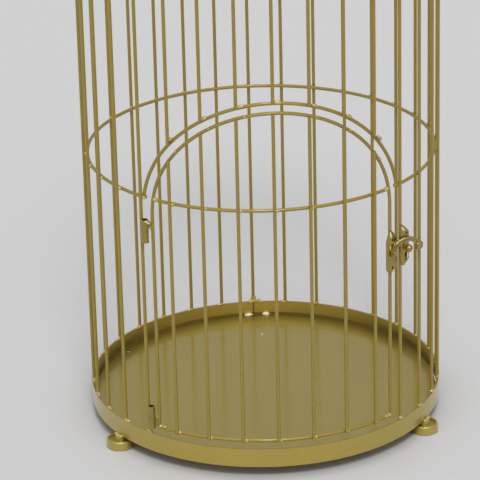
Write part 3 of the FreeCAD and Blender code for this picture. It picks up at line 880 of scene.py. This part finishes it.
def floor_sheet():
    made = bmesh.new()
    faces = {FLOOR_LOW: [], FLOOR_TOP: []}
    for loop in (edge_loop(), hole_loop()):
        rings = []
        for level, edges in faces.items():
            ring = [made.verts.new(place + UP * level) for place in loop]
            edges += [made.edges.new((ring[n - 1], ring[n])) for n in range(len(ring))]
            rings.append(ring)
        low, top = rings
        for n in range(len(loop)):
            made.faces.new((low[n - 1], low[n], top[n], top[n - 1]))
    for edges in faces.values():
        bmesh.ops.triangle_fill(made, use_beauty=True, edges=edges)
    bmesh.ops.recalc_face_normals(made, faces=made.faces)
    return add_piece("floor_sheet", made, "cage", SHEET_GOLD, smooth=False)


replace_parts(floor_sheet(), "base_floor")

# %% [markdown]
# ## The tray's corner
# The floor is a loose disc until it is tacked and painted, and the paint then bridges the thin gap round
# it. That makes a small hollow fillet in the corner, which breaks off at the two slits. Its dull dark
# brown finish is painted shade. Its section is a quarter of a circle, and turning the section round the
# axis gives each run of it.

# %% Fillet between floor and band
FILLET = 1.6 * MM
FILLET_STEPS = 5
FILLET_TURNS = 240


def fillet_section():
    section = [(BAND_INSIDE, FLOOR_TOP)]
    for step in range(FILLET_STEPS + 1):
        turn = math.radians(90) * step / FILLET_STEPS
        radius = BAND_INSIDE - FILLET + FILLET * math.sin(turn)
        section.append((radius, FLOOR_TOP + FILLET - FILLET * math.cos(turn)))
    return section


def fillet_ring():
    section = fillet_section()
    made = bmesh.new()
    rows = {}
    for place in range(FILLET_TURNS):
        angle = 360 * place / FILLET_TURNS - 180
        if not any(abs(angle - middle) < half for middle, half in FLATS):
            rows[place] = [made.verts.new(around(angle, radius, height)) for radius, height in section]
    for place, row in rows.items():
        if (place - 1) % FILLET_TURNS not in rows:
            made.faces.new(row)
        after = rows.get((place + 1) % FILLET_TURNS)
        if after is None:
            made.faces.new(row)
            continue
        for step in range(len(section)):
            other = (step + 1) % len(section)
            made.faces.new((row[step], after[step], after[other], row[other]))
    bmesh.ops.recalc_face_normals(made, faces=made.faces)
    # The fillet's dark brown finish is painted shade
    add_piece("tray_corner_fillet", made, "cage", SHADED_FILLET_PAINT)


fillet_ring()

# %% [markdown]
# ## Welds of the door
# The door is bent from one wire, with a ring and a rail set between its stiles. Both ends of each are held
# by two fat beads. The doorway's arch stands on the cut ends of the middle ring, and a dull heap closes
# each of those joints.

# %% Door and doorway corners
# Each lump of a heap is (towards the door's middle, up, size) in millimetres
DOOR_RING_HEAP = ((0.2, 0.4, 3.4), (2.2, 0.2, 2.9))
DOOR_CORNER_HEAP = ((-0.3, 0.5, 3.6), (3.2, 0.6, 2.9))
DOORWAY_HEAP = ((0.2, 0.6, 4.2), (2.2, 0.4, 3.0), (-2.0, 0.3, 3.2))
LUMP_DEEP = 0.95
LUMP_FLAT = 0.85


def ring_ends(node, pick):
    """Angles of a ring's two cut ends: pick is max for a ring of the door, min for one of the cage."""
    angles = [abs(angle_of(vertex.co)) for vertex in nodes[node].data.vertices]
    return -pick(angles), pick(angles)


def end_welds(name, ends, level, body, finish, heap):
    """The same heap at both ends of a ring."""
    lumps = bmesh.new()
    for end in ends:
        inward = tangent(end) * math.copysign(MM, -end)
        for aside, rise, size in heap:
            centre = around(end, RING_RADIUS, level + rise * MM) + inward * aside
            add_bead(lumps, centre, tangent(end), UP, uneven((size, size * LUMP_DEEP, size * LUMP_FLAT)))
    add_piece(name, lumps, body, finish)


door_ends = ring_ends("door_ring", max)
rail_ends = ring_ends("door_rail", max)
doorway_ends = ring_ends("mid_ring", min)
end_welds("door_ring_end_welds", door_ends, MID_LEVEL, "door", WELD_GOLD, DOOR_RING_HEAP)
end_welds("door_corner_welds", rail_ends, RAIL_LEVEL, "door", WELD_GOLD, DOOR_CORNER_HEAP)
end_welds("doorway_foot_welds", doorway_ends, MID_LEVEL, "cage", WIRE_GOLD, DOORWAY_HEAP)

# %% [markdown]
# ## Welds of the hinges
# A hinge is two short tubes on one pin. The tab of each tube is welded to its stile with a bead above and
# a bead below, and the upper door tab has a long run along its top edge, whose pale finish is a painted
# highlight. The run stays close to the tube, because the cage's stile passes there when the door stands
# open.

# %% Hinge welds
TUBE = 5.2 * MM
BESIDE_TUBE = 0.55 * TUBE
TAB_BEAD = (2.2, 1.9, 1.5)
TAB_END = 0.55 * WIRE
RUN_BEAD = (1.7, 1.1, 1.3)
# Each bead of the run is (share of the way to the stile, mm to the front, mm up)
RUN = ((0.13, 2.35, 0.9), (0.24, 2.1, 0.5), (0.38, 1.7, -0.4), (0.50, 1.2, -1.0))


def tab_levels(node, upper):
    """Lowest and highest point of the tab of a knuckle, found beside the tube."""
    beside = []
    for vertex in nodes[node].data.vertices:
        out = (vertex.co - HINGE_AT).xy
        if out.length > BESIDE_TUBE and (vertex.co.z > HINGE_AT.z) == upper:
            beside.append(vertex.co.z)
    return min(beside), max(beside)


def to_stile(stile):
    """The level way from the hinge's axis to a stile."""
    return Vector((stile.x - HINGE_AT.x, stile.y - HINGE_AT.y, 0))


def tab_welds(name, node, stile, body):
    lumps = bmesh.new()
    across = to_stile(stile)
    reach = across.length - TAB_END
    across.normalize()
    for upper in (False, True):
        for level in tab_levels(node, upper):
            centre = Vector((HINGE_AT.x, HINGE_AT.y, level)) + across * reach
            add_bead(lumps, centre, UP, across, uneven(TAB_BEAD))
    add_piece(name, lumps, body)


def long_run(stile):
    """The run with the painted highlight, from the front of the upper door knuckle down across its tab."""
    lumps = bmesh.new()
    start = Vector((HINGE_AT.x, HINGE_AT.y, tab_levels("door_knuckles", True)[1]))
    across = to_stile(stile)
    forward = Vector((0, -MM, 0))
    for share, out, rise in RUN:
        centre = start + across * share + forward * out + UP * rise * MM
        add_bead(lumps, centre, across.normalized(), UP, uneven(RUN_BEAD))
    # The run's pale finish is a painted highlight
    add_piece("upper_hinge_run", lumps, "door", PALE_HIGHLIGHT_METAL)


door_stile = stile_foot("door_frame", -1)
cage_stile = bar_foot(cage_bars[-1])
tab_welds("door_tab_welds", "door_knuckles", door_stile, "door")
tab_welds("cage_tab_welds", "cage_knuckles", cage_stile, "cage")
long_run(door_stile)

# %% [markdown]
# ## Relief of the latch
# The two plates are pressed from thin sheet with a low ornament: a strong ridge under each upper point, a
# finer one below it, and faint lumps. The ridges get the pale finish as a painted highlight, and the
# lumps keep the paint. The hook passes over the plates with very little room, so the relief stands only
# about a third of a millimetre high.

# %% Ridges and lumps
RELIEF_HEIGHT = 0.62 * MM
RELIEF_ROUGH = 0.10
# Each mark is (aside, rise, length, width) in millimetres and a lean in degrees
CATCH_RIDGES = ((0.2, 16.2, 5.2, 1.7, -42), (5.4, -5.6, 5.4, 1.1, 4))
CATCH_LUMPS = ((1.4, 11.2, 3.2, 2.2, 10), (0.5, 5.4, 4.4, 1.4, -4),
               (1.0, -4.6, 6.0, 1.3, 3), (3.2, -9.7, 3.0, 1.1, 84))
HOOK_RIDGES = ((-10.0, 13.9, 5.6, 1.8, -16), (-10.6, 4.4, 3.4, 1.3, -12))
HOOK_LUMPS = ((-12.1, 7.4, 4.6, 1.3, -12), (-5.1, 6.4, 4.2, 1.3, 22), (-11.9, -5.4, 5.6, 1.5, 8),
              (-5.4, -7.6, 5.4, 1.5, -14), (-8.7, -7.0, 3.2, 1.9, 0), (-9.8, -13.7, 2.6, 1.4, 20))
BESIDE_NAIL = 1.2 * NAIL_HALF


def face_at(node, middle):
    """How far out a plate's face lies, read beside one of its nail holes."""
    outs = []
    for vertex in nodes[node].data.vertices:
        away = vertex.co - middle
        if (away - LATCH_OUT * away.dot(LATCH_OUT)).length < BESIDE_NAIL:
            outs.append(vertex.co.dot(LATCH_OUT))
    return max(outs)


def relief(name, marks, face, body, finish):
    lumps = bmesh.new()
    for aside, rise, length, width, lean in marks:
        along = UP * math.cos(math.radians(lean)) + LATCH_SIDE * math.sin(math.radians(lean))
        size = (length * MM, width * MM, RELIEF_HEIGHT)
        add_bead(lumps, on_latch(aside * MM, rise * MM, face), along, LATCH_OUT, size, RELIEF_ROUGH)
    add_piece(name, lumps, body, finish)


CATCH_FACE = face_at("catch_plate", CATCH_NAIL)
HOOK_FACE = face_at("hook_plate", HOOK_NAILS[0])
# The ridges' pale finish is a painted highlight
relief("catch_plate_ridges", CATCH_RIDGES, CATCH_FACE, "cage", PALE_HIGHLIGHT_METAL)
relief("catch_plate_lumps", CATCH_LUMPS, CATCH_FACE, "cage", FITTING_GOLD)
relief("hook_plate_ridges", HOOK_RIDGES, HOOK_FACE, "door", PALE_HIGHLIGHT_METAL)
relief("hook_plate_lumps", HOOK_LUMPS, HOOK_FACE, "door", FITTING_GOLD)

# %% [markdown]
# ## Painted highlight on the hook's edge
# A pale line is painted along the hook's upper edge as far as the crest of the arm: a painted highlight.
# The line follows the highest front points of the imported hook, so it fits the arm's bend and crank.

# %% Highlight line on the hook
HIGHLIGHT_STEPS = 18
HIGHLIGHT_START = 1.0 * MM
HIGHLIGHT_END = 3.4 * MM
HIGHLIGHT_WIDE = 0.7 * MM
HIGHLIGHT_HIGH = 0.5 * MM
HIGHLIGHT_OVERLAP = 1.4
FACE_SLACK = 0.3 * MM


def highlight_points():
    """Highest front points of the hook in equal steps along it, up to its crest and evened out."""
    corners = [vertex.co.copy() for vertex in nodes["latch_hook"].data.vertices]
    first = PIVOT_ASIDE - HIGHLIGHT_START
    last = max(corner.dot(LATCH_SIDE) for corner in corners) - HIGHLIGHT_END
    step = (last - first) / HIGHLIGHT_STEPS
    found = []
    for place in range(HIGHLIGHT_STEPS):
        start = first + place * step
        near = [corner for corner in corners if start <= corner.dot(LATCH_SIDE) < start + step]
        if near:
            front = max(corner.dot(LATCH_OUT) for corner in near)
            facing_out = [corner for corner in near if corner.dot(LATCH_OUT) > front - FACE_SLACK]
            found.append(max(facing_out, key=lambda corner: corner.z))
    crest = found.index(max(found, key=lambda corner: corner.z))
    return [(found[place] + found[place + 1] + found[place + 2]) / 3 for place in range(crest)]


def highlight_line():
    points = highlight_points()
    lumps = bmesh.new()
    for start, end in zip(points, points[1:]):
        size = ((end - start).length * HIGHLIGHT_OVERLAP, HIGHLIGHT_WIDE, HIGHLIGHT_HIGH)
        add_bead(lumps, (start + end) / 2, (end - start).normalized(), LATCH_OUT, size, RELIEF_ROUGH)
    # The pale line is a painted highlight
    add_piece("hook_highlight_edge", lumps, "latch_hook", PALE_HIGHLIGHT_METAL)


highlight_line()

# %% [markdown]
# ## Welds behind the latch
# The plates are not nailed: each is welded to its wire from behind. These welds get a near-black finish,
# painted shade, which shows through the keyhole, so the keyhole looks black and not pale like the
# background.

# %% Welds behind the plates, in painted shade
# Each lump is (aside, rise, length, width) in millimetres
CATCH_BACK_WELDS = ((3.2, -5.4, 9.0, 6.4), (1.6, 9.0, 6.0, 3.6))
HOOK_BACK_WELDS = ((-9.8, 6.0, 7.0, 2.6), (-6.6, -8.0, 7.0, 2.6))


def plate_weld(name, node, marks, body):
    """Lumps at the back of a plate, between it and its wire."""
    back = min(vertex.co.dot(LATCH_OUT) for vertex in nodes[node].data.vertices)
    lumps = bmesh.new()
    for aside, rise, length, width in marks:
        size = (length * MM, width * MM, WIRE)
        add_bead(lumps, on_latch(aside * MM, rise * MM, back - WIRE / 2), UP, LATCH_OUT, size)
    # The near-black finish is painted shade, seen through the keyhole
    add_piece(name, lumps, body, SHADED_BACKING_METAL)


plate_weld("catch_plate_weld", "catch_plate", CATCH_BACK_WELDS, "cage")
plate_weld("hook_plate_weld", "hook_plate", HOOK_BACK_WELDS, "door")

# %% [markdown]
# ## Welds of the feet
# The band's lower edge rests on the post inside each foot. Three lumps on the outside hold it there, and
# they are the brightest spots of a foot, because they face straight up to the light. The record's mounts
# say where the feet are.

# %% Foot welds
mounts = {mount["name"]: Vector(mount["pos_m"]) for mount in frame["record"]["mounts"]}
FOOT_ANGLES = sorted(round(angle_of(place)) % 360 for name, place in mounts.items() if name.endswith("_foot"))
# Each lump is (along the band, out, size) in millimetres
FOOT_LUMPS = ((-2.8, 0.7, 3.2), (0.4, 1.3, 3.9), (3.2, 0.8, 3.4))
FOOT_DEEP = 0.9
FOOT_FLAT = 0.8
FOOT_DROP = 0.5 * MM


def foot_welds():
    lumps = bmesh.new()
    for foot_angle in FOOT_ANGLES:
        for aside, out, size in FOOT_LUMPS:
            angle = foot_angle + math.degrees(aside * MM / BAND_RADIUS)
            centre = around(angle, BAND_RADIUS + out * MM, BAND_LOW.z - FOOT_DROP)
            add_bead(lumps, centre, tangent(angle), UP, uneven((size, size * FOOT_DEEP, size * FOOT_FLAT)))
    add_piece("foot_welds", lumps, "cage")


foot_welds()

# %% [markdown]
# ## Welds of the crown
# Near the top every bar crosses one small ring, and the loop stands on the cap's boss. Both are out of the
# photograph, so they follow the way that the rest is made.

# %% Crown welds
CROWN_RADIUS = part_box("crown_ring")[1].x - WIRE / 2
CROWN_LEVEL = level_of("crown_ring")
CROWN_PAST = 1.2 * MM
CROWN_TURN = math.degrees(CROWN_PAST / CROWN_RADIUS)
CROWN_BEAD = (2.2, 2.0, 1.8)
BOSS_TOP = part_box("crown_cap")[1].z
LOOP_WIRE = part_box("hanging_loop")[1].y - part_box("hanging_loop")[0].y
LOOP_BEAD = (2.4, 1.6, 1.3)
LOOP_BEADS = 9
LOOP_REACH = 0.6 * LOOP_WIRE
LOOP_RISE = 0.3 * MM


def crown_welds():
    lumps = bmesh.new()
    for bar in cage_bars + upper_bars:
        angle = bar_angle(bar) + CROWN_TURN
        centre = around(angle, CROWN_RADIUS, CROWN_LEVEL + WIRE / 2)
        add_bead(lumps, centre, tangent(angle), UP, uneven(CROWN_BEAD))
    add_piece("crown_ring_welds", lumps, "cage")


def loop_welds():
    lumps = bmesh.new()
    for step in range(LOOP_BEADS):
        angle = step * 360 / LOOP_BEADS
        centre = around(angle, LOOP_REACH, BOSS_TOP + LOOP_RISE)
        add_bead(lumps, centre, tangent(angle), UP, uneven(LOOP_BEAD))
    add_piece("loop_welds", lumps, "cage")


crown_welds()
loop_welds()
